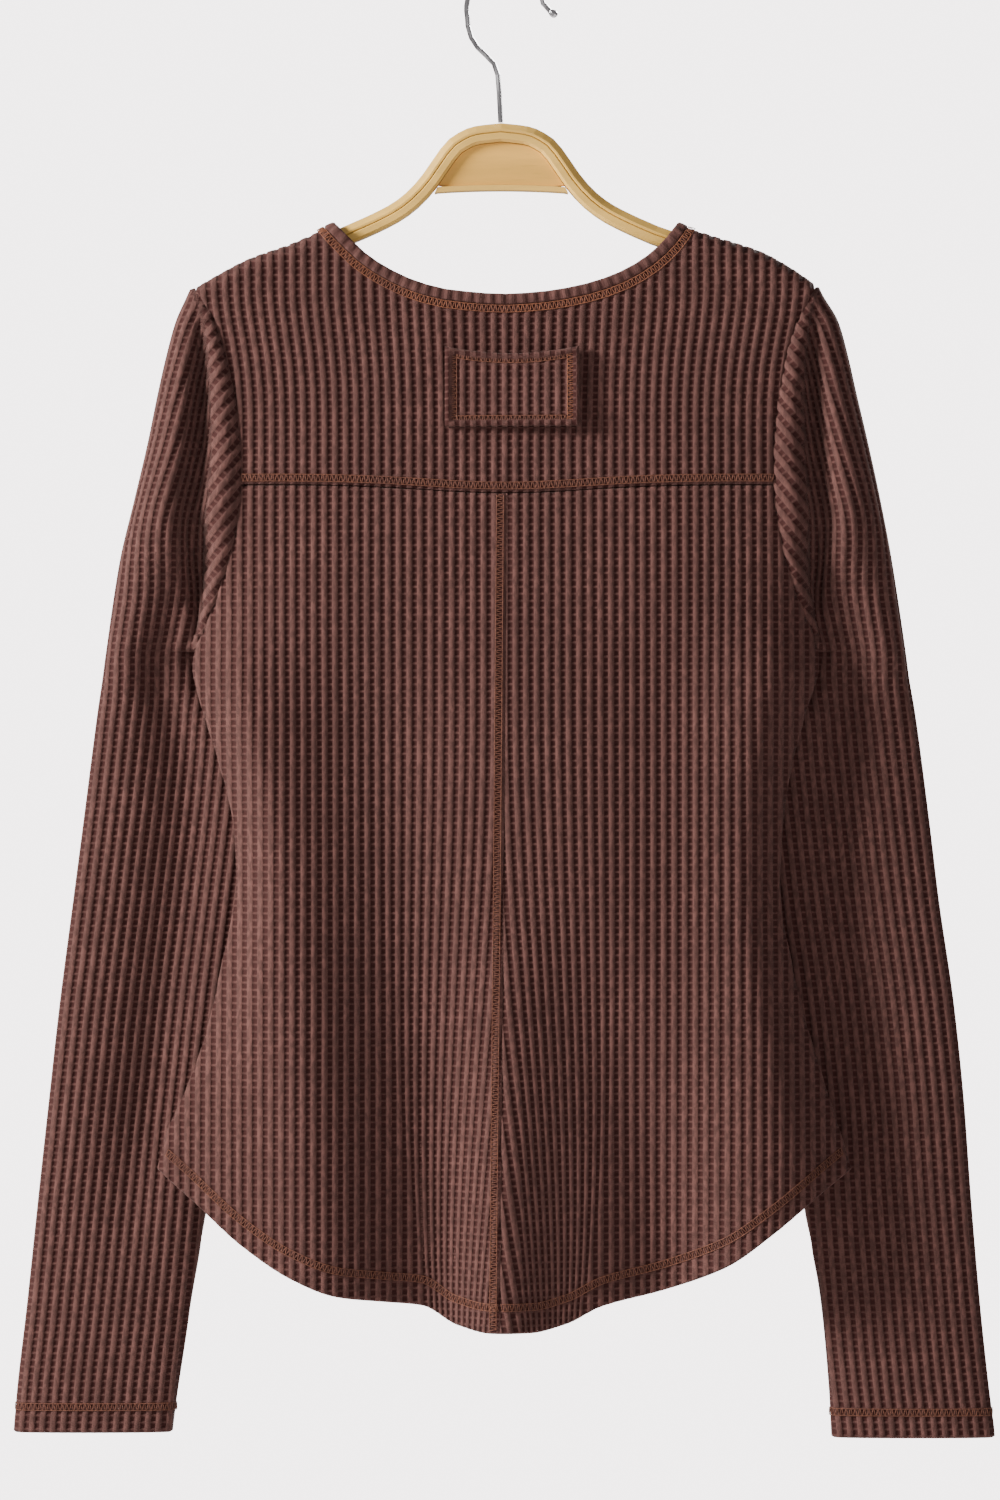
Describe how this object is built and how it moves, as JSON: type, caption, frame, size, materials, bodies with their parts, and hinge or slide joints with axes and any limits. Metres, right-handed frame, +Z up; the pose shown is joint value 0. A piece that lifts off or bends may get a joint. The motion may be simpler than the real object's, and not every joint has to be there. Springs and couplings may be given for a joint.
{
  "type": "long-sleeved knit top on a hanger",
  "caption": "Long-sleeved brown waffle-knit top with a yoke, a back patch and a curved hem, hung on a bentwood hanger with a wire hook.",
  "frame": {"origin": "hang point, under the crown of the hook", "axes": "+Z up, +X to the wearer's right, +Y to the wearer's front"},
  "size_m": [0.5414, 0.0598, 0.809],
  "materials": {
    "waffle_knit": "matte waffle knit",
    "pale_wood": "satin lacquer",
    "panel_wood": "satin lacquer",
    "bright_wire": "polished"
  },
  "bodies": {
    "root": {"back_yoke": "waffle_knit", "back_left": "waffle_knit", "back_right": "waffle_knit", "front": "waffle_knit", "back_patch": "waffle_knit", "neck_band": "waffle_knit", "sleeve_left": "waffle_knit", "sleeve_right": "waffle_knit", "hanger_outer_band": "pale_wood", "hanger_inner_band": "pale_wood", "hanger_rail": "pale_wood", "hanger_panel": "panel_wood", "hanger_hook": "bright_wire"}
  },
  "joints": []
}
